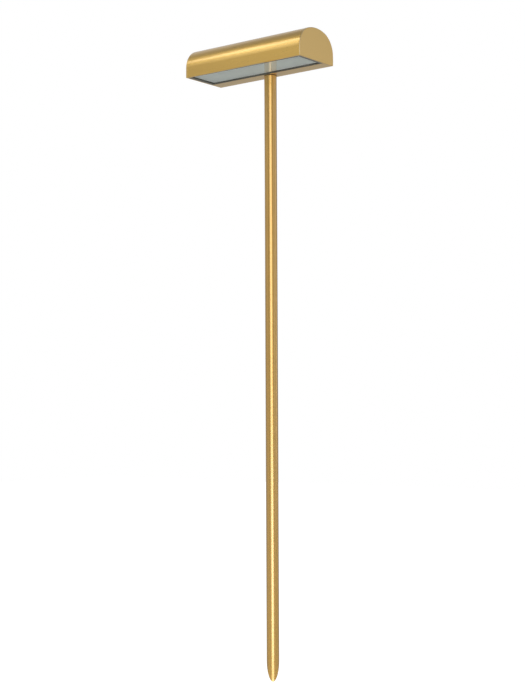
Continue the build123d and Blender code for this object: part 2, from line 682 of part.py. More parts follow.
def led_lead(side):
    """One lead from the driver over its left end and down to the LED board."""
    y = OPENING_Y + side * LED_LEAD_SPREAD
    start = DRIVER_LEFT + 2 * WIRE_DIAMETER
    over = DRIVER_TOP + WIRE_BEND + WIRE_DIAMETER
    under = BOARD_LOW - WIRE_DIAMETER / 2
    points = [
        (start, y, DRIVER_TOP),
        (start, y, over),
        (-LED_LEAD_X, y, over),
        (-LED_LEAD_X, y, under),
        (-BOARD_LENGTH / 2 + WIRE_DIAMETER, y, under),
    ]
    return wire(points, WIRE_BEND)


# ---------------------------------------------------------------- everything, by name
def build():
    """All the pieces under the names of their files."""
    return {
        "stem_tube": stem_tube(),
        "stem_spigot": stem_spigot(),
        "seal_washer": seal_washer(),
        "stem_cable": stem_cable(),
        "cable_splice": cable_splice(),
        "inlet_bush": inlet_bush(),
        "spike_plug": spike_plug(),
        "head_shell": head_shell(),
        "end_plate_right": end_plate(1),
        "end_plate_left": end_plate(-1),
        "swivel_socket": swivel_socket(),
        "lock_screw": lock_screw(),
        "lens_glass": lens_glass(),
        "lens_seal": lens_seal(),
        "diffuser": diffuser(),
        "reflector_tray": reflector_tray(),
        "led_board": led_board(),
        "led_emitters": led_emitters(),
        "board_screws": board_screws(),
        "thermal_pad": thermal_pad(),
        "carrier_plate": carrier_plate(),
        "carrier_screws": carrier_screws(),
        "standoffs": standoffs(),
        "plate_grommet": plate_grommet(),
        "driver_board": driver_board(),
        "driver_spacers": driver_spacers(),
        "driver_screws": driver_screws(),
        "driver_inductor": driver_inductor(),
        "driver_capacitors": driver_capacitors(),
        "driver_chips": driver_chips(),
        "terminal_block": terminal_block(),
        "terminal_screws": terminal_screws(),
        "supply_core_red": supply_core(1),
        "supply_core_black": supply_core(-1),
        "led_lead_red": led_lead(1),
        "led_lead_black": led_lead(-1),
    }


def as_one(piece):
    """One shape for the file: a single solid, or a group of separate ones."""
    solids = []
    for member in piece if isinstance(piece, list) else [piece]:
        solids.extend(member.solids())
    return solids[0] if len(solids) == 1 else Compound(children=solids)


def main():
    """Builds every piece and writes each to its own file."""
    os.makedirs("parts", exist_ok=True)
    for name, piece in build().items():
        shape = as_one(piece)
        shape.label = name
        export_step(shape, f"parts/{name}.step")
        print(f"{name}: {len(shape.solids())} solid(s), {shape.volume:.1f} mm3")


main()
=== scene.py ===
"""Looks for a brass garden light on a spike.

The construction model is loaded as a fixed frame.  This script adds the studio, the finely made
outer pieces and a finish for every piece.  Metres throughout.  The origin is on the stem's axis at
the ground line, +X runs along the head, and the head's wide side hangs out towards -Y.
"""

from __future__ import annotations

import logging
import math
from collections.abc import Callable
from dataclasses import dataclass
from enum import Enum

import bmesh
import bpy
from mathutils import Matrix, Vector

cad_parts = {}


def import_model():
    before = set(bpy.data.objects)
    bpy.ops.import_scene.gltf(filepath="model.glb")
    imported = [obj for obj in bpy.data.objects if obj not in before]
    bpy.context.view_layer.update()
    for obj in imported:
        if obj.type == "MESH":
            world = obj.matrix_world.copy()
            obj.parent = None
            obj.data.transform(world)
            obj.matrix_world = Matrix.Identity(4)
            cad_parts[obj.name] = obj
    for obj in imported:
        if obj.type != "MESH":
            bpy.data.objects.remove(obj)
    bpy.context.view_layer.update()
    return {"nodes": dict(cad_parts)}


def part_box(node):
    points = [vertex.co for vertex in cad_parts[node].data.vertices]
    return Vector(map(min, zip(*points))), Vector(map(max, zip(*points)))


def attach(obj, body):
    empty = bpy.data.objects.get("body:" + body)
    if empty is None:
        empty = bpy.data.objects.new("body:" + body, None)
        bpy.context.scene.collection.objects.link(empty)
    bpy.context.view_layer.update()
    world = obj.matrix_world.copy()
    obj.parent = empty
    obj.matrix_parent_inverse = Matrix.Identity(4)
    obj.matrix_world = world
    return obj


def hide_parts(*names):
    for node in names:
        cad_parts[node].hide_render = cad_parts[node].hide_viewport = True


MM = 0.001
LOG = logging.getLogger("garden_light")

# Edges that turn by more than this are rounded.
SHARP_TURN = math.radians(30)
# How far large faces outweigh small ones in the shading of a rounded piece, out of 100.
FACE_WEIGHT = 80

Point = tuple[float, float, float]


# ------------------------------------------------------------------------------ modelling bench
class Element(Enum):
    """What a selection is made of."""

    VERTEX = "VERT"
    EDGE = "EDGE"
    FACE = "FACE"


def take(piece: bpy.types.Object) -> None:
    """Makes a piece the only selected and active one.

    Args:
        piece: The piece, in object mode.
    """
    for other in bpy.context.selected_objects:
        other.select_set(False)
    piece.select_set(True)
    bpy.context.view_layer.objects.active = piece


def start_editing() -> None:
    """Enters edit mode."""
    bpy.ops.object.mode_set(mode="EDIT")


def end_editing() -> None:
    """Leaves edit mode."""
    bpy.ops.object.mode_set(mode="OBJECT")


def begin(name: str) -> bpy.types.Object:
    """Names the primitive just added, sets its place in its mesh and opens it for editing.

    Args:
        name: The piece's name.

    Returns:
        The piece, in edit mode.
    """
    piece = bpy.context.active_object
    piece.name = name
    piece.data.name = name
    take(piece)
    bpy.ops.object.transform_apply(location=True, rotation=True, scale=True)
    start_editing()
    return piece


def pick(piece: bpy.types.Object, element: Element, wanted: Callable[..., bool]) -> int:
    """Selects just those elements of the open piece that pass a test.

    Args:
        piece: The piece that is in edit mode.
        element: Whether vertices, edges or faces are tested.
        wanted: The test, given one element.

    Returns:
        How many elements were selected.
    """
    bpy.ops.mesh.select_mode(type=element.value)
    bpy.ops.mesh.select_all(action="DESELECT")
    mesh = bmesh.from_edit_mesh(piece.data)
    kinds = {Element.VERTEX: mesh.verts, Element.EDGE: mesh.edges, Element.FACE: mesh.faces}
    chosen = [item for item in kinds[element] if wanted(item)]
    for item in chosen:
        item.select_set(True)
    mesh.select_flush_mode()
    bmesh.update_edit_mesh(piece.data)
    return len(chosen)


def near(value: float, target: float, slack: float = 0.02 * MM) -> bool:
    """Whether two lengths agree."""
    return abs(value - target) < slack


def all_at(item: bmesh.types.BMEdge | bmesh.types.BMFace, axis: int, value: float) -> bool:
    """Whether every vertex of an edge or face lies at one place along an axis."""
    return all(near(vertex.co[axis], value) for vertex in item.verts)


def upright(edge: bmesh.types.BMEdge) -> bool:
    """Whether an edge runs along Z."""
    one, other = edge.verts
    return near(one.co.x, other.co.x) and near(one.co.y, other.co.y)


def modify(piece: bpy.types.Object, kind: str, **settings: object) -> None:
    """Adds one modifier to a piece and applies it.

    Args:
        piece: The piece, in object mode.
        kind: Blender's name for the modifier type.
        **settings: The modifier's properties.
    """
    take(piece)
    modifier = piece.modifiers.new(kind.title(), kind)
    for key, value in settings.items():
        setattr(modifier, key, value)
    bpy.ops.object.modifier_apply(modifier=modifier.name)


def soften(piece: bpy.types.Object, width: float, segments: int = 3) -> None:
    """Rounds every sharp edge of a piece and smooths its shading.

    Args:
        piece: The piece, in object mode.
        width: The width of the rounding.
        segments: The facets across it.
    """
    take(piece)
    bpy.ops.object.shade_smooth()
    modify(
        piece,
        "BEVEL",
        width=width,
        segments=segments,
        limit_method="ANGLE",
        angle_limit=SHARP_TURN,
        use_clamp_overlap=True,
        miter_outer="MITER_ARC",
    )
    modify(piece, "WEIGHTED_NORMAL", keep_sharp=False, weight=FACE_WEIGHT)


def bore(piece: bpy.types.Object, radius: float, start: Point, end: Point, sides: int = 48) -> None:
    """Drills a round hole through a piece.

    Args:
        piece: The piece, in object mode.
        radius: The hole's radius.
        start: One end of the drill's path.
        end: Its other end.
        sides: The facets round the hole.
    """
    way = Vector(end) - Vector(start)
    bpy.ops.mesh.primitive_cylinder_add(
        vertices=sides,
        radius=radius,
        depth=way.length,
        location=(Vector(start) + Vector(end)) / 2,
        rotation=way.to_track_quat("Z", "Y").to_euler(),
    )
    drill = begin("drill")
    end_editing()
    modify(piece, "BOOLEAN", operation="DIFFERENCE", object=drill, solver="EXACT")
    bpy.data.objects.remove(drill)


def draw_out(x: float, y: float, z: float) -> None:
    """Extrudes what is selected in the open piece by a distance."""
    bpy.ops.mesh.extrude_region_move(TRANSFORM_OT_translate={"value": (x, y, z)})


def outward() -> None:
    """Merges the open piece's doubles and turns its faces outwards."""
    bpy.ops.mesh.select_all(action="SELECT")
    bpy.ops.mesh.remove_doubles(threshold=0.002 * MM)
    bpy.ops.mesh.normals_make_consistent(inside=False)


# ------------------------------------------------------------------------------ shader bench
def linear(colour: str) -> tuple[float, float, float, float]:
    """Turns an sRGB colour to linear light.

    Args:
        colour: The colour in hex, such as #c0a060.

    Returns:
        Red, green and blue in linear light, and full opacity.
    """
    parts = [int(colour[i : i + 2], 16) / 255 for i in (1, 3, 5)]
    light = [c / 12.92 if c <= 0.04045 else ((c + 0.055) / 1.055) ** 2.4 for c in parts]
    return (*light, 1.0)


def add(
    tree: bpy.types.NodeTree,
    kind: str,
    inputs: dict[str | int, object] | None = None,
    **settings: object,
) -> bpy.types.Node:
    """Adds one node with its settings and links.

    Args:
        tree: The node tree.
        kind: Blender's name for the node type.
        inputs: Values for its sockets, or the output sockets that feed them.
        **settings: The node's own properties.

    Returns:
        The new node.
    """
    made = tree.nodes.new(kind)
    for key, value in settings.items():
        setattr(made, key, value)
    for socket, value in (inputs or {}).items():
        if isinstance(value, bpy.types.NodeSocket):
            tree.links.new(value, made.inputs[socket])
        else:
            made.inputs[socket].default_value = value
    return made


# The sockets of a Mix node go by number, because several share a name: the amount, the first and
# second plain value, the first and second colour, then the plain and the coloured output.
AMOUNT, FIRST_VALUE, SECOND_VALUE, FIRST_COLOUR, SECOND_COLOUR = 0, 2, 3, 6, 7
MIXED_VALUE, MIXED_COLOUR = 0, 2


@dataclass(frozen=True)
class Finish:
    """What every finish has: a name, a colour, a second tone and a gloss."""

    name: str
    colour: str
    tone: str
    roughness: float

    def fresh(self) -> tuple[bpy.types.Material, bpy.types.NodeTree]:
        """Makes the empty material.

        Returns:
            The material and its node tree.
        """
        material = bpy.data.materials.new(self.name)
        material.use_nodes = True
        material.node_tree.nodes.clear()
        material.diffuse_color = linear(self.colour)
        return material, material.node_tree

    def material(self) -> bpy.types.Material:
        """Gives the material, built when it is first asked for."""
        return bpy.data.materials.get(self.name) or self.build()

    def build(self) -> bpy.types.Material:
        """Builds the node tree; each kind of finish has its own."""
        raise NotImplementedError


class Axis(Enum):
    """The axis that a metal's gloss is drawn out round."""

    X = "X"
    Z = "Z"


class Marks(Enum):
    """How the marks of a metal's last working run, as stretch factors along X, Y and Z."""

    ALONG_X = (0.012, 1.0, 1.0)
    ALONG_Z = (1.0, 1.0, 0.012)
    AROUND_Z = (0.05, 0.05, 1.0)
    EVEN = (1.0, 1.0, 1.0)


@dataclass(frozen=True)
class Metal(Finish):
    """A worked metal, bare or under clear lacquer.

    spacing is the distance between the marks and relief their depth, both in millimetres.  stretch
    is how far the gloss is drawn out, and turned by what part of a full turn round the surface,
    starting from the direction round the axis.  unevenness is how far the roughness
    wanders to either side, cloud_size the size of its wide patches in millimetres, and cloud_share
    their part in it, beside the marks.
    """

    marks: Marks = Marks.EVEN
    spacing: float = 0.4
    relief: float = 0.002
    stretch: float = 0.0
    axis: Axis = Axis.X
    turned: float = 0.0
    lacquer: float = 0.0
    lacquer_roughness: float = 0.15
    lacquer_ior: float = 1.7
    unevenness: float = 0.03
    cloud_size: float = 28.0
    cloud_share: float = 0.35

    def build(self) -> bpy.types.Material:
        """Builds the worked metal.

        Returns:
            The material.
        """
        material, tree = self.fresh()
        place = add(tree, "ShaderNodeTexCoord").outputs["Object"]
        rate = 1 / (self.spacing * MM)
        inputs = {"Vector": place, "Scale": tuple(rate * factor for factor in self.marks.value)}
        stretched = add(tree, "ShaderNodeMapping", inputs).outputs["Vector"]
        inputs = {"Vector": stretched, "Scale": 1.0, "Detail": 3.0, "Roughness": 0.6}
        lines = add(tree, "ShaderNodeTexNoise", inputs).outputs["Fac"]
        inputs = {"Vector": place, "Scale": 1 / (self.cloud_size * MM), "Detail": 2.0}
        cloud = add(tree, "ShaderNodeTexNoise", inputs).outputs["Fac"]
        inputs = {"Value": lines, "From Min": 0.3, "From Max": 0.7}
        streak = add(tree, "ShaderNodeMapRange", inputs).outputs["Result"]
        inputs = {
            AMOUNT: streak,
            FIRST_COLOUR: linear(self.tone),
            SECOND_COLOUR: linear(self.colour),
        }
        shade = add(tree, "ShaderNodeMix", inputs, data_type="RGBA").outputs[MIXED_COLOUR]
        inputs = {AMOUNT: self.cloud_share, FIRST_VALUE: streak, SECOND_VALUE: cloud}
        both = add(tree, "ShaderNodeMix", inputs).outputs[MIXED_VALUE]
        inputs = {
            "Value": both,
            "From Min": 0.2,
            "From Max": 0.8,
            "To Min": self.roughness + self.unevenness,
            "To Max": self.roughness - self.unevenness,
        }
        gloss = add(tree, "ShaderNodeMapRange", inputs).outputs["Result"]
        inputs = {"Height": lines, "Strength": 0.6, "Distance": self.relief * MM}
        relief = add(tree, "ShaderNodeBump", inputs).outputs["Normal"]
        inputs = {
            "Base Color": shade,
            "Metallic": 1.0,
            "Roughness": gloss,
            "Normal": relief,
            "Coat Weight": self.lacquer,
            "Coat Roughness": self.lacquer_roughness,
            "Coat IOR": self.lacquer_ior,
        }
        if self.stretch:
            inputs["Anisotropic"] = self.stretch
            inputs["Anisotropic Rotation"] = self.turned
            inputs["Tangent"] = add(
                tree, "ShaderNodeTangent", direction_type="RADIAL", axis=self.axis.value
            ).outputs["Tangent"]
        shader = add(tree, "ShaderNodeBsdfPrincipled", inputs)
        add(tree, "ShaderNodeOutputMaterial", {"Surface": shader.outputs["BSDF"]})
        return material


@dataclass(frozen=True)
class Moulded(Finish):
    """A moulded, extruded or cast polymer.

    grain is the size of its surface grain and relief that grain's depth, both in millimetres.  soft
    is how much of the light goes into it, and cloud_grains how many grains wide its patches of the
    second tone are.
    """

    grain: float = 0.5
    relief: float = 0.01
    soft: float = 0.0
    ior: float = 1.5
    unevenness: float = 0.06
    cloud_grains: float = 14.0

    def build(self) -> bpy.types.Material:
        """Builds the polymer.

        Returns:
            The material.
        """
        material, tree = self.fresh()
        place = add(tree, "ShaderNodeTexCoord").outputs["Object"]
        rate = 1 / (self.grain * MM)
        inputs = {"Vector": place, "Scale": rate, "Detail": 4.0, "Roughness": 0.6}
        grain = add(tree, "ShaderNodeTexNoise", inputs).outputs["Fac"]
        inputs = {"Vector": place, "Scale": rate / self.cloud_grains, "Detail": 2.0}
        cloud = add(tree, "ShaderNodeTexNoise", inputs).outputs["Fac"]
        inputs = {
            AMOUNT: cloud,
            FIRST_COLOUR: linear(self.tone),
            SECOND_COLOUR: linear(self.colour),
        }
        shade = add(tree, "ShaderNodeMix", inputs, data_type="RGBA").outputs[MIXED_COLOUR]
        inputs = {
            "Value": grain,
            "From Min": 0.25,
            "From Max": 0.75,
            "To Min": self.roughness - self.unevenness,
            "To Max": self.roughness + self.unevenness,
        }
        gloss = add(tree, "ShaderNodeMapRange", inputs).outputs["Result"]
        inputs = {"Height": grain, "Strength": 0.5, "Distance": self.relief * MM}
        relief = add(tree, "ShaderNodeBump", inputs).outputs["Normal"]
        inputs = {
            "Base Color": shade,
            "Roughness": gloss,
            "Normal": relief,
            "IOR": self.ior,
            "Subsurface Weight": self.soft,
            "Subsurface Scale": MM,
        }
        shader = add(tree, "ShaderNodeBsdfPrincipled", inputs)
        add(tree, "ShaderNodeOutputMaterial", {"Surface": shader.outputs["BSDF"]})
        return material


@dataclass(frozen=True)
class Glass(Finish):
    """Clear float glass, toughened, with the faint ripple that the furnace rollers leave.

    ripple is the width of a wave and depth its height, both in millimetres.
    """

    ripple: float = 18.0
    depth: float = 0.01
    ior: float = 1.52

    def build(self) -> bpy.types.Material:
        """Builds the glass.

        Returns:
            The material.
        """
        material, tree = self.fresh()
        place = add(tree, "ShaderNodeTexCoord").outputs["Object"]
        inputs = {"Vector": place, "Scale": 1 / (self.ripple * MM), "Detail": 1.0}
        wave = add(tree, "ShaderNodeTexNoise", inputs).outputs["Fac"]
        inputs = {
            AMOUNT: wave,
            FIRST_COLOUR: linear(self.tone),
            SECOND_COLOUR: linear(self.colour),
        }
        tint = add(tree, "ShaderNodeMix", inputs, data_type="RGBA").outputs[MIXED_COLOUR]
        inputs = {"Height": wave, "Strength": 0.3, "Distance": self.depth * MM}
        relief = add(tree, "ShaderNodeBump", inputs).outputs["Normal"]
        inputs = {
            "Base Color": tint,
            "Roughness": self.roughness,
            "IOR": self.ior,
            "Transmission Weight": 1.0,
            "Normal": relief,
        }
        shader = add(tree, "ShaderNodeBsdfPrincipled", inputs)
        add(tree, "ShaderNodeOutputMaterial", {"Surface": shader.outputs["BSDF"]})
        return material


# ------------------------------------------------------------------------------ finishes
# Brass sheet, brushed lengthwise with a fine belt and lacquered: warm satin gold whose highlight
# spreads round the arch, with faint straight strokes along the length.  A real stroke is about
# 0.05 mm wide; these are drawn 0.4 mm apart, so that they show in the render.
BRUSHED_BRASS = Metal(
    "brushed_brass_lacquered",
    colour="#f1c55f",
    tone="#ecbf5a",
    roughness=0.3,
    marks=Marks.ALONG_X,
    spacing=0.4,
    relief=0.0008,
    stretch=0.6,
    axis=Axis.X,
    lacquer=1.0,
    lacquer_roughness=0.2,
)
# The flat end plates, ground on an even disc and lacquered: paler and without direction.  The
# grain of the disc, about 0.1 mm, is drawn 0.5 mm coarse, so that it shows.
GROUND_BRASS = Metal(
    "ground_brass_lacquered",
    colour="#f1c96d",
    tone="#edc468",
    roughness=0.42,
    spacing=0.5,
    relief=0.0006,
    lacquer=1.0,
    lacquer_roughness=0.25,
)
# The rounded outline of the plates, smoother than their face, with a paler colour painted on as a
# thin highlight line.
PAINTED_HIGHLIGHT_EDGE = Metal(
    "painted_highlight_edge",
    colour="#fde6b2",
    tone="#fadfa4",
    roughness=0.3,
    spacing=0.4,
    relief=0.0006,
    lacquer=1.0,
    lacquer_roughness=0.15,
)
# Drawn brass tube, polished while it turns and lacquered: a long clean highlight down the stem.
# The polishing rings, about 0.05 mm apart, are drawn 0.4 mm apart and very shallow.
POLISHED_TUBE = Metal(
    "polished_brass_tube",
    colour="#f0bd52",
    tone="#ecb84e",
    roughness=0.43,
    marks=Marks.AROUND_Z,
    spacing=0.4,
    relief=0.0001,
    stretch=0.8,
    axis=Axis.Z,
    turned=0.25,
    lacquer=1.0,
    lacquer_roughness=0.22,
    lacquer_ior=2.0,
)
# Brass bar turned on a lathe, bare: bright fine rings round the axis.  The feed of 0.1 mm is
# drawn 0.25 mm wide, so that it shows.
TURNED_BRASS = Metal(
    "turned_brass",
    colour="#e9c77c",
    tone="#d4ae5e",
    roughness=0.28,
    marks=Marks.AROUND_Z,
    spacing=0.25,
    relief=0.006,
)
# Stainless steel, cold headed and passivated: cool grey with a soft gloss.
STAINLESS_STEEL = Metal(
    "stainless_steel_headed",
    colour="#c9c8c4",
    tone="#a9a8a5",
    roughness=0.3,
    spacing=0.5,
    relief=0.003,
)
# Rolled aluminium sheet as it leaves the mill: pale grey with long faint roll lines.
MILL_ALUMINIUM = Metal(
    "mill_finish_aluminium",
    colour="#d6d7d8",
    tone="#bfc1c3",
    roughness=0.36,
    marks=Marks.ALONG_X,
    spacing=0.6,
    relief=0.004,
)
# Drawn aluminium can of a capacitor: bright, with drawing lines up its side.
CAPACITOR_CAN = Metal(
    "drawn_aluminium_can",
    colour="#dcdddf",
    tone="#c4c6ca",
    roughness=0.24,
    marks=Marks.ALONG_Z,
    spacing=0.2,
    relief=0.002,
)
# Moulded ethylene rubber: black, matt and slightly uneven.
BLACK_RUBBER = Moulded("moulded_black_rubber", "#1c1c1b", "#121212", 0.62, grain=0.35, relief=0.02)
# Neutral-cure silicone sealant, tooled wet: dark grey with a soft skin.
GREY_SILICONE = Moulded("tooled_grey_silicone", "#6a675e", "#5a5850", 0.42, grain=0.9, relief=0.03)
# Extruded rubber cable jacket: matt black with faint length ripple.
CABLE_JACKET = Moulded("extruded_cable_jacket", "#232323", "#181818", 0.5, grain=0.8, relief=0.02)
# Glue-lined polyolefin sleeve, shrunk hot: black with a waxy gloss.
HEAT_SHRINK = Moulded(
    "shrunk_polyolefin_sleeve", "#1b1b1c", "#101011", 0.38, grain=1.4, relief=0.05
)
# Cast epoxy: near black, glossy, with a slight meniscus wave.
POTTING_RESIN = Moulded("cast_epoxy_resin", "#201e1b", "#151311", 0.22, grain=2.2, relief=0.04)
# Cast opal acrylic sheet: milk white and smooth.
OPAL_ACRYLIC = Moulded("cast_opal_acrylic", "#f3f7f3", "#ebf1ec", 0.35, grain=1.0, relief=0.002)
# White polycarbonate, vacuum formed: high, even reflectance.
WHITE_POLYCARBONATE = Moulded("formed_white_polycarbonate", "#f1f1ee", "#e6e6e2", 0.45)
# White solder mask on an aluminium-cored board: bright and half matt.
WHITE_BOARD = Moulded("white_solder_mask", "#eceded", "#dfe1e0", 0.4, grain=0.3, relief=0.004)
# Silicone over phosphor: the yellow window of an unlit white LED.
LED_PHOSPHOR = Moulded("phosphor_in_silicone", "#e8c84a", "#d9b53a", 0.3, grain=0.12, relief=0.01)
# Filled silicone gap pad: soft light grey with a fine crumb.
GREY_GAP_PAD = Moulded("filled_silicone_pad", "#9a9fa3", "#83888c", 0.7, grain=0.25, relief=0.03)
# Green solder mask on glass-fibre board: deep green with a wet gloss.
GREEN_BOARD = Moulded("green_solder_mask", "#1d5b37", "#154a2b", 0.32, grain=0.6, relief=0.006)
# Turned natural nylon: milky and slightly see-through.
NATURAL_NYLON = Moulded("turned_natural_nylon", "#e6e0cf", "#d8d1bd", 0.42, soft=0.15)
# Pressed and ground ferrite: dark grey, fine and dull.
DARK_FERRITE = Moulded("ground_ferrite", "#33343a", "#26272c", 0.55, grain=0.2, relief=0.01)
# Transfer-moulded epoxy of a chip's body: charcoal, dull and very fine.
BLACK_EPOXY = Moulded("moulded_chip_epoxy", "#202124", "#17181a", 0.5, grain=0.12, relief=0.008)
# Moulded polyamide of a terminal block: mid green with a satin skin.
TERMINAL_PLASTIC = Moulded("moulded_green_polyamide", "#3f8a55", "#357a49", 0.42, grain=0.3)
# Extruded vinyl insulation, red and black: smooth and half glossy.
RED_INSULATION = Moulded("extruded_red_vinyl", "#b3231c", "#971a15", 0.36, grain=0.6, relief=0.01)
BLACK_INSULATION = Moulded(
    "extruded_black_vinyl", "#1f1f20", "#151516", 0.36, grain=0.6, relief=0.01
)
# Float glass, toughened: clear, barely green, with a long shallow ripple.
CLEAR_GLASS = Glass("toughened_float_glass", "#f9fefa", "#f5fbf7", 0.03)


# ------------------------------------------------------------------------------ stem
@dataclass
class Stem:
    """The spike: a slim tube cut on the slant, its washer and its cable bush."""

    wall: float = 1.0 * MM
    slash_height: float = 39.0 * MM
    tip_bearing: float = 37.8
    sides: int = 128
    arris: float = 0.12 * MM
    washer_bore: float = 3.5 * MM
    inlet_radius: float = 3.3 * MM
    bush_bore: float = 2.1 * MM
    bush_sides: int = 64
    bush_ease: float = 0.25 * MM

    def __post_init__(self) -> None:
        """Reads the stem's size and place from the frame."""
        low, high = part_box("stem_tube")
        self.radius = (high.y - low.y) / 2
        self.tip = low.z
        self.top = high.z
        bush_low, bush_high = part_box("inlet_bush")
        self.inlet_height = (bush_low.z + bush_high.z) / 2
        self.bush_near = bush_low.y
        self.bush_far = bush_high.y

    def build(self) -> list[bpy.types.Object]:
        """Builds the stem's visible pieces.

        Returns:
            The new pieces.
        """
        return [self.tube(), self.washer(), self.bush()]

    def tube(self) -> bpy.types.Object:
        """Models the tube, its slanted cut and the cable's hole.

        Returns:
            The piece.
        """
        spare = self.radius
        low = self.tip - spare
        bearing = math.radians(self.tip_bearing)
        bpy.ops.mesh.primitive_cylinder_add(
            vertices=self.sides,
            radius=self.radius,
            depth=self.top - low,
            end_fill_type="NOTHING",
            location=(0, 0, (self.top + low) / 2),
            rotation=(0, 0, bearing),
        )
        piece = begin("spike_tube")
        end_editing()
        modify(piece, "SOLIDIFY", thickness=self.wall, offset=-1.0, use_even_offset=True)
        start_editing()
        up = Vector((0, 0, 1))
        towards = Vector((math.sin(bearing), -math.cos(bearing), 0))
        point = towards * self.radius + up * self.tip
        slope = up * self.slash_height - towards * (2 * self.radius)
        across = slope.cross(up.cross(towards)).normalized()
        bpy.ops.mesh.select_all(action="SELECT")
        bpy.ops.mesh.bisect(plane_co=point, plane_no=across, clear_outer=True)
        kept = bmesh.from_edit_mesh(piece.data).verts
        if not any(vertex.co.z > self.top - spare for vertex in kept):
            raise ValueError("the slanted cut kept the wrong end")
        pick(piece, Element.EDGE, lambda edge: edge.is_boundary)
        bpy.ops.mesh.bridge_edge_loops()
        outward()
        end_editing()
        height = self.inlet_height
        bore(piece, self.inlet_radius, (0, 0, height), (0, 2 * self.radius, height))
        soften(piece, self.arris, segments=2)
        return finish_piece(piece, "stem", POLISHED_TUBE, "stem_tube")

    def washer(self) -> bpy.types.Object:
        """Models the squeezed rubber washer under the head.

        Returns:
            The piece.
        """
        low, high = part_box("seal_washer")
        outer = high.y
        bpy.ops.mesh.primitive_cylinder_add(
            vertices=self.sides,
            radius=outer,
            depth=high.z - low.z,
            end_fill_type="NOTHING",
            location=(0, 0, (high.z + low.z) / 2),
        )
        piece = begin("washer_rubber")
        end_editing()
        modify(piece, "SOLIDIFY", thickness=outer - self.washer_bore, offset=-1.0)
        soften(piece, self.arris)
        return finish_piece(piece, "stem", BLACK_RUBBER, "seal_washer")

    def bush(self) -> bpy.types.Object:
        """Models the rubber bush in the rear of the stem, with its outer end cut to the tube.

        Returns:
            The piece.
        """
        length = 2 * self.radius
        bpy.ops.mesh.primitive_cylinder_add(
            vertices=self.bush_sides,
            radius=self.inlet_radius,
            depth=length,
            end_fill_type="NOTHING",
            location=(0, self.bush_near + length / 2, self.inlet_height),
            rotation=(math.radians(90), 0, 0),
        )
        piece = begin("bush_rubber")
        end_editing()
        modify(piece, "SOLIDIFY", thickness=self.inlet_radius - self.bush_bore, offset=-1.0)
        bpy.ops.mesh.primitive_cylinder_add(
            vertices=self.sides,
            radius=self.bush_far,
            depth=4 * self.inlet_radius,
            location=(0, 0, self.inlet_height),
        )
        gauge = begin("gauge")
        end_editing()
        modify(piece, "BOOLEAN", operation="INTERSECT", object=gauge, solver="EXACT")
        bpy.data.objects.remove(gauge)
        soften(piece, self.bush_ease)
        return finish_piece(piece, "stem", BLACK_RUBBER, "inlet_bush")


# ------------------------------------------------------------------------------ head
class End(Enum):
    """The head's two ends, by their direction along X."""

    RIGHT = 1
    LEFT = -1


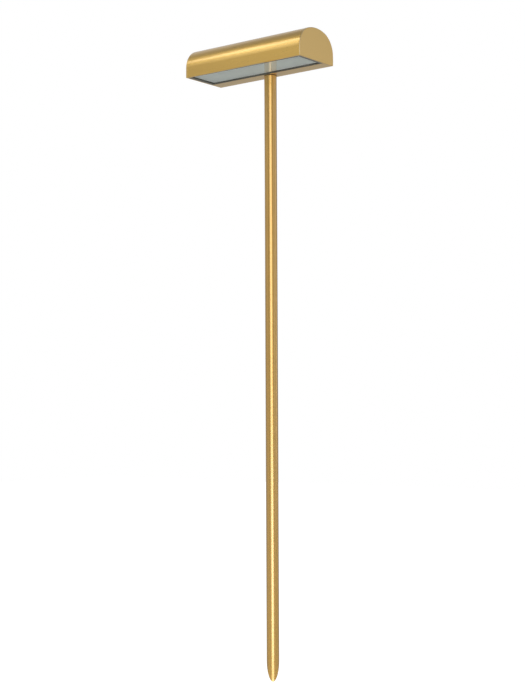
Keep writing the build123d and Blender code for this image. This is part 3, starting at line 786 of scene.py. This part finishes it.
@dataclass
class Head:
    """The long brass head: arched shell, end plates, glass and sealant.

    The facing values say how squarely a face looks along an axis, from 0 to 1: bead_facing down,
    and edge_facing and flat_facing along X.  bead_crease is in degrees.
    """

    wall: float = 2.0 * MM
    side_height: float = 9.2 * MM
    crown_ease: float = 1.0 * MM
    lip_wall: float = 1.5 * MM
    lip_height: float = 9.0 * MM
    shoulder_steps: int = 26
    crown_steps: int = 14
    spigot_hole: float = 3.55 * MM
    screw_hole: float = 2.0 * MM
    glass_corner: float = 1.0 * MM
    corner_steps: int = 8
    glass_arris: float = 0.3 * MM
    bead_margin: float = 0.35 * MM
    bead_hollow: float = 0.08 * MM
    bead_facing: float = 0.9
    bead_crease: float = 40.0
    edge_facing: float = 0.1
    flat_facing: float = 0.98
    round_edge: float = 0.45 * MM
    round_steps: int = 6
    arris: float = 0.12 * MM

    def __post_init__(self) -> None:
        """Reads the head's size and place from the frame and works out its arch."""
        low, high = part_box("head_shell")
        self.low, self.high = low, high
        self.middle = (low.y + high.y) / 2
        screw_low, screw_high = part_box("lock_screw")
        self.screw_height = (screw_low.z + screw_high.z) / 2
        _, seal_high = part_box("lens_seal")
        self.rim_edge = seal_high.y
        half = (high.y - low.y) / 2
        rise = high.z - low.z - self.side_height
        self.shoulder = rise - self.crown_ease
        self.crown = half + (half - rise) ** 2 / (2 * self.crown_ease)
        self.spring = low.z + self.side_height
        self.shoulder_reach = half - self.shoulder
        self.crown_middle = high.z - self.crown
        self.lean = math.atan2(self.spring - self.crown_middle, self.shoulder_reach)

    def skin(self, name: str, low_x: float, high_x: float) -> bpy.types.Object:
        """Models the arch's outer face between two places along X.

        Args:
            name: The piece's name.
            low_x: Its lower end.
            high_x: Its upper end.

        Returns:
            The piece, in edit mode, with the rear wall's lower edge selected.
        """
        bpy.ops.mesh.primitive_plane_add(
            size=1.0,
            location=((low_x + high_x) / 2, self.low.y, (self.low.z + self.spring) / 2),
            rotation=(math.radians(90), 0, 0),
        )
        bpy.context.active_object.scale = (high_x - low_x, self.side_height, 1.0)
        piece = begin(name)
        pick(piece, Element.EDGE, lambda edge: all_at(edge, 2, self.spring))
        crown_turn = math.pi - 2 * self.lean
        turns = (
            (self.middle - self.shoulder_reach, self.spring, self.lean, self.shoulder_steps),
            (self.middle, self.crown_middle, crown_turn, self.crown_steps),
            (self.middle + self.shoulder_reach, self.spring, self.lean, self.shoulder_steps),
        )
        for y, z, angle, steps in turns:
            bpy.ops.mesh.spin(steps=steps, angle=angle, center=(0, y, z), axis=(1, 0, 0))
        draw_out(0, 0, -self.side_height)
        return piece

    def round_off(self, piece: bpy.types.Object, wanted: Callable[..., bool]) -> None:
        """Rounds chosen edges of the open piece to the head's outer edge radius.

        Args:
            piece: The piece that is in edit mode.
            wanted: The test that finds the edges.
        """
        if not pick(piece, Element.EDGE, wanted):
            raise ValueError(f"{piece.name} has no edge to round")
        bpy.ops.mesh.bevel(offset=self.round_edge, segments=self.round_steps, affect="EDGES")

    def outer_foot(self, edge: bmesh.types.BMEdge) -> bool:
        """Whether an edge is the lower outer edge of the front or rear wall."""
        walls = (self.low.y, self.high.y)
        return all_at(edge, 2, self.low.z) and any(all_at(edge, 1, y) for y in walls)

    def build(self) -> list[bpy.types.Object]:
        """Builds the head's visible pieces.

        Returns:
            The new pieces.
        """
        plates = [self.end_plate(end) for end in End]
        return [self.shell(), *plates, self.glass(), self.seal()]

    def shell(self) -> bpy.types.Object:
        """Models the folded shell: walls, arch, rear rim and its upstand.

        Returns:
            The piece.
        """
        piece = self.skin("shell_brass", self.low.x, self.high.x)
        draw_out(0, self.rim_edge - self.high.y, 0)
        draw_out(0, 0, self.lip_height)
        outward()
        mesh = bmesh.from_edit_mesh(piece.data)
        front = next(face for face in mesh.faces if all_at(face, 1, self.low.y))
        if front.normal.y > 0:
            bpy.ops.mesh.flip_normals()
        end_editing()
        modify(piece, "SOLIDIFY", thickness=self.wall, offset=-1.0, use_even_offset=True)
        start_editing()
        inside = self.rim_edge + self.wall
        pick(piece, Element.VERTEX, lambda vertex: near(vertex.co.y, inside))
        bpy.ops.transform.translate(value=(0, self.lip_wall - self.wall, 0))
        outward()
        self.round_off(piece, self.outer_foot)
        end_editing()
        through = 2 * self.wall
        bore(piece, self.spigot_hole, (0, 0, self.low.z - MM), (0, 0, self.low.z + through))
        height = self.screw_height
        rear = self.high.y
        bore(piece, self.screw_hole, (0, rear - through, height), (0, rear + MM, height))
        soften(piece, self.arris)
        return finish_piece(piece, "head", BRUSHED_BRASS, "head_shell")

    def end_plate(self, end: End) -> bpy.types.Object:
        """Models one flat end plate: ground face, outline with a painted highlight, and brushed
        edge.

        Args:
            end: The end that it closes.

        Returns:
            The piece.
        """
        word = end.name.lower()
        low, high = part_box(f"end_plate_{word}")
        piece = self.skin(f"plate_{word}_brass", low.x, high.x)
        pick(piece, Element.EDGE, lambda edge: all_at(edge, 2, self.low.z) and edge.is_boundary)
        bpy.ops.mesh.edge_face_add()
        for x in (low.x, high.x):
            pick(piece, Element.EDGE, lambda edge: all_at(edge, 0, x))
            bpy.ops.mesh.edge_face_add()
        outward()
        outside = high.x if end is End.RIGHT else low.x
        self.round_off(piece, lambda edge: all_at(edge, 0, outside) or self.outer_foot(edge))
        end_editing()
        soften(piece, self.arris)
        finish_piece(piece, "head", GROUND_BRASS, f"end_plate_{word}")
        piece.data.materials.append(BRUSHED_BRASS.material())
        piece.data.materials.append(PAINTED_HIGHLIGHT_EDGE.material())
        ground, brushed, highlighted = range(3)
        for face in piece.data.polygons:
            facing = abs(face.normal.x)
            if facing <= self.edge_facing:
                face.material_index = brushed
            # The rounded outline takes the smoother finish whose paler colour is a painted
            # highlight.
            elif facing < self.flat_facing and face.normal.z > -self.edge_facing:
                face.material_index = highlighted
            else:
                face.material_index = ground
        return piece

    def glass(self) -> bpy.types.Object:
        """Models the pane with rounded corners and ground arrises.

        Returns:
            The piece.
        """
        low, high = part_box("lens_glass")
        bpy.ops.mesh.primitive_cube_add(size=1.0, location=(low + high) / 2)
        bpy.context.active_object.scale = high - low
        piece = begin("pane_glass")
        pick(piece, Element.EDGE, upright)
        bpy.ops.mesh.bevel(offset=self.glass_corner, segments=self.corner_steps, affect="EDGES")
        outward()
        end_editing()
        soften(piece, self.glass_arris)
        return finish_piece(piece, "head", CLEAR_GLASS, "lens_glass")

    def seal(self) -> bpy.types.Object:
        """Models the bead of sealant round the pane, tooled to a shallow hollow.

        Returns:
            The piece.
        """
        low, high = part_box("lens_seal")
        pane_low, pane_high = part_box("lens_glass")
        side_width, end_width = high.y - pane_high.y, high.x - pane_high.x
        bpy.ops.mesh.primitive_plane_add(
            size=1.0, location=((low.x + high.x) / 2, (low.y + high.y) / 2, low.z)
        )
        bpy.context.active_object.scale = (high.x - low.x, high.y - low.y, 1.0)
        piece = begin("bead_silicone")
        pick(piece, Element.FACE, lambda face: True)
        bpy.ops.mesh.inset(thickness=side_width, use_even_offset=True)
        for side in (-1, 1):
            place = side * (high.x - side_width)
            pick(piece, Element.VERTEX, lambda vertex: near(vertex.co.x, place))
            bpy.ops.transform.translate(value=(side * (side_width - end_width), 0, 0))
        pick(
            piece,
            Element.FACE,
            lambda face: all(near(abs(v.co.x), pane_high.x) for v in face.verts),
        )
        bpy.ops.mesh.delete(type="FACE")
        pick(piece, Element.FACE, lambda face: True)
        draw_out(0, 0, high.z - low.z)
        outward()
        # The four corners round the pane, and with them the bead's long inner edges.
        pick(
            piece,
            Element.EDGE,
            lambda edge: all(near(abs(v.co.x), pane_high.x) for v in edge.verts)
            and (all_at(edge, 1, pane_high.y) or all_at(edge, 1, pane_low.y)),
        )
        bpy.ops.mesh.bevel(offset=self.glass_corner, segments=self.corner_steps, affect="EDGES")
        pick(piece, Element.FACE, lambda face: face.normal.z < -self.bead_facing)
        bpy.ops.mesh.inset(thickness=self.bead_margin, use_even_offset=True)
        bpy.ops.transform.translate(value=(0, 0, self.bead_hollow))
        end_editing()
        take(piece)
        bpy.ops.object.shade_smooth_by_angle(angle=math.radians(self.bead_crease))
        return finish_piece(piece, "head", GREY_SILICONE, "lens_seal")


def finish_piece(
    piece: bpy.types.Object, body: str, finish: Finish, node: str
) -> bpy.types.Object:
    """Dresses a new piece, sets it on its body and hides the node that it stands for.

    Args:
        piece: The finished piece.
        body: The body it rides on.
        finish: Its finish.
        node: The node of the construction model that it stands for.

    Returns:
        The piece.
    """
    piece.data.materials.clear()
    piece.data.materials.append(finish.material())
    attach(piece, body)
    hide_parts(node)
    return piece


# ------------------------------------------------------------------------------ carried-over nodes
CARRIED_OVER: dict[str, Finish] = {
    "stem_spigot": TURNED_BRASS,
    "stem_cable": CABLE_JACKET,
    "cable_splice": HEAT_SHRINK,
    "spike_plug": POTTING_RESIN,
    "swivel_socket": TURNED_BRASS,
    "lock_screw": STAINLESS_STEEL,
    "diffuser": OPAL_ACRYLIC,
    "reflector_tray": WHITE_POLYCARBONATE,
    "led_board": WHITE_BOARD,
    "led_emitters": LED_PHOSPHOR,
    "board_screws": STAINLESS_STEEL,
    "thermal_pad": GREY_GAP_PAD,
    "carrier_plate": MILL_ALUMINIUM,
    "carrier_screws": STAINLESS_STEEL,
    "standoffs": TURNED_BRASS,
    "plate_grommet": BLACK_RUBBER,
    "driver_board": GREEN_BOARD,
    "driver_spacers": NATURAL_NYLON,
    "driver_screws": STAINLESS_STEEL,
    "driver_inductor": DARK_FERRITE,
    "driver_capacitors": CAPACITOR_CAN,
    "driver_chips": BLACK_EPOXY,
    "terminal_block": TERMINAL_PLASTIC,
    "terminal_screws": STAINLESS_STEEL,
    "supply_core_red": RED_INSULATION,
    "supply_core_black": BLACK_INSULATION,
    "led_lead_red": RED_INSULATION,
    "led_lead_black": BLACK_INSULATION,
}


def dress_carried_over(nodes: dict[str, bpy.types.Object]) -> list[bpy.types.Object]:
    """Gives each node that stays visible its finish.

    Args:
        nodes: The frame's nodes by name.

    Returns:
        The nodes that were dressed.
    """
    for name, finish in CARRIED_OVER.items():
        nodes[name].data.materials.clear()
        nodes[name].data.materials.append(finish.material())
    return [nodes[name] for name in CARRIED_OVER]


# ------------------------------------------------------------------------------ studio
@dataclass
class Softbox:
    """A rectangular soft light, aimed at the lamp.

    azimuth runs from the front (-Y) towards +X, in degrees, and glow is how bright its face is,
    whatever its size.
    """

    name: str
    azimuth: float
    elevation: float
    distance: float
    width: float
    height: float
    glow: float
    target: Point = (0.0, -0.02, 0.3)

    def build(self) -> None:
        """Makes the light, hidden from the camera."""
        data = bpy.data.lights.new(self.name, "AREA")
        data.shape = "RECTANGLE"
        data.size = self.width
        data.size_y = self.height
        data.energy = self.glow * math.pi * self.width * self.height
        light = bpy.data.objects.new(self.name, data)
        bpy.context.scene.collection.objects.link(light)
        around, above = math.radians(self.azimuth), math.radians(self.elevation)
        level = math.cos(above)
        away = Vector((math.sin(around) * level, -math.cos(around) * level, math.sin(above)))
        aim = away.to_track_quat("Z", "Y").to_matrix().to_4x4()
        place = Matrix.Translation(Vector(self.target) + away * self.distance)
        light.matrix_world = place @ aim
        light.visible_camera = False


@dataclass
class Studio:
    """The pale room, its soft lights and the camera.

    surround and floor_glow are how bright room and floor are to the lamp, backdrop and floor_seen
    how bright they are in the picture.  Angles are in degrees, lens and sensor in millimetres.
    """

    camera_place: Point = (0.80484, -1.03971, 0.07416)
    camera_turn: float = 38.1251
    camera_pitch: float = 2.6124
    camera_roll: float = -0.2354
    camera_lens: float = 70.495
    camera_sensor: float = 36.0
    camera_near: float = 0.05
    floor_drop: float = 0.58
    floor_size: float = 24.0
    surround: float = 0.3
    backdrop: float = 1.0
    floor_glow: float = 0.19
    floor_seen: float = 1.0

    def build(self) -> None:
        """Sets up room, lights and camera."""
        scene = bpy.context.scene
        scene.view_settings.view_transform = "Standard"
        scene.view_settings.look = "None"
        self.room()
        self.floor()
        for softbox in self.lights():
            softbox.build()
        self.camera()

    def lights(self) -> list[Softbox]:
        """Lists the soft lights.

        Returns:
            The softboxes.
        """
        # Name, azimuth, elevation, distance, width, height and glow.
        return [
            Softbox("camera_side", 34, -3, 1.6, 1.0, 1.4, 1.62),
            Softbox("camera_low", 41, -20, 1.6, 1.0, 0.48, 2.0),
            Softbox("front_fill", 10, -3, 1.6, 0.45, 1.1, 0.12),
            Softbox("high_left", -49, 42.5, 1.6, 0.29, 0.34, 2.6),
            Softbox("left_step", -38, 30, 1.6, 0.34, 0.34, 0.95),
            Softbox("left_wall", -47, 0, 1.6, 1.5, 1.4, 0.16),
            Softbox("rear_left_wall", -120, 28, 1.6, 1.5, 1.5, 0.27),
            Softbox("right_wall", 134, 4, 1.6, 0.6, 1.15, 0.62),
            Softbox("right_side", 95, 4, 1.6, 0.6, 1.15, 0.49),
            Softbox("from_below", 0, -88, 0.9, 1.2, 1.2, 0.7),
        ]

    def room(self) -> None:
        """Makes the surround: white behind the lamp, and mid grey where metal mirrors it."""
        world = bpy.data.worlds.new("studio")
        bpy.context.scene.world = world
        world.use_nodes = True
        tree = world.node_tree
        tree.nodes.clear()
        seen = add(tree, "ShaderNodeLightPath").outputs["Is Camera Ray"]
        inputs = {"Value": seen, "To Min": self.surround, "To Max": self.backdrop}
        level = add(tree, "ShaderNodeMapRange", inputs).outputs["Result"]
        sky = add(tree, "ShaderNodeBackground", {"Color": linear("#ffffff"), "Strength": level})
        add(tree, "ShaderNodeOutputWorld", {"Surface": sky.outputs["Background"]})

    def floor(self) -> None:
        """Makes the plain pale floor, well below the tip, so that the lamp stands clear of it."""
        low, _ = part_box("stem_tube")
        bpy.ops.mesh.primitive_plane_add(
            size=self.floor_size, location=(0, 0, low.z - self.floor_drop)
        )
        floor = begin("floor")
        end_editing()
        material = bpy.data.materials.new("pale_paint_floor")
        material.use_nodes = True
        material.cycles.emission_sampling = "NONE"
        tree = material.node_tree
        tree.nodes.clear()
        seen = add(tree, "ShaderNodeLightPath").outputs["Is Camera Ray"]
        inputs = {"Value": seen, "To Min": self.floor_glow, "To Max": self.floor_seen}
        level = add(tree, "ShaderNodeMapRange", inputs).outputs["Result"]
        inputs = {
            "Base Color": linear("#d2d2d0"),
            "Roughness": 0.9,
            "Specular IOR Level": 0.0,
            "Emission Color": linear("#ffffff"),
            "Emission Strength": level,
        }
        shader = add(tree, "ShaderNodeBsdfPrincipled", inputs)
        add(tree, "ShaderNodeOutputMaterial", {"Surface": shader.outputs["BSDF"]})
        floor.data.materials.append(material)

    def camera(self) -> None:
        """Sets the camera where the photograph was taken from."""
        data = bpy.data.cameras.new("camera")
        data.sensor_width = self.camera_sensor
        data.lens = self.camera_lens
        data.clip_start = self.camera_near
        camera = bpy.data.objects.new("camera", data)
        bpy.context.scene.collection.objects.link(camera)
        turn = Matrix.Rotation(math.radians(self.camera_turn), 4, "Z")
        lift = Matrix.Rotation(math.radians(90 + self.camera_pitch), 4, "X")
        roll = Matrix.Rotation(math.radians(self.camera_roll), 4, "Z")
        camera.matrix_world = Matrix.Translation(Vector(self.camera_place)) @ turn @ lift @ roll
        bpy.context.scene.camera = camera


def main() -> None:
    """Builds studio, stem and head in order and dresses what is carried over."""
    logging.basicConfig(level=logging.INFO, format="%(name)s: %(message)s")
    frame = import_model()
    Studio().build()
    pieces = [*Stem().build(), *Head().build(), *dress_carried_over(frame["nodes"])]
    for piece in pieces:
        finish = piece.active_material.name
        LOG.info("%s: %d faces, %s", piece.name, len(piece.data.polygons), finish)


if __name__ == "__main__":
    main()
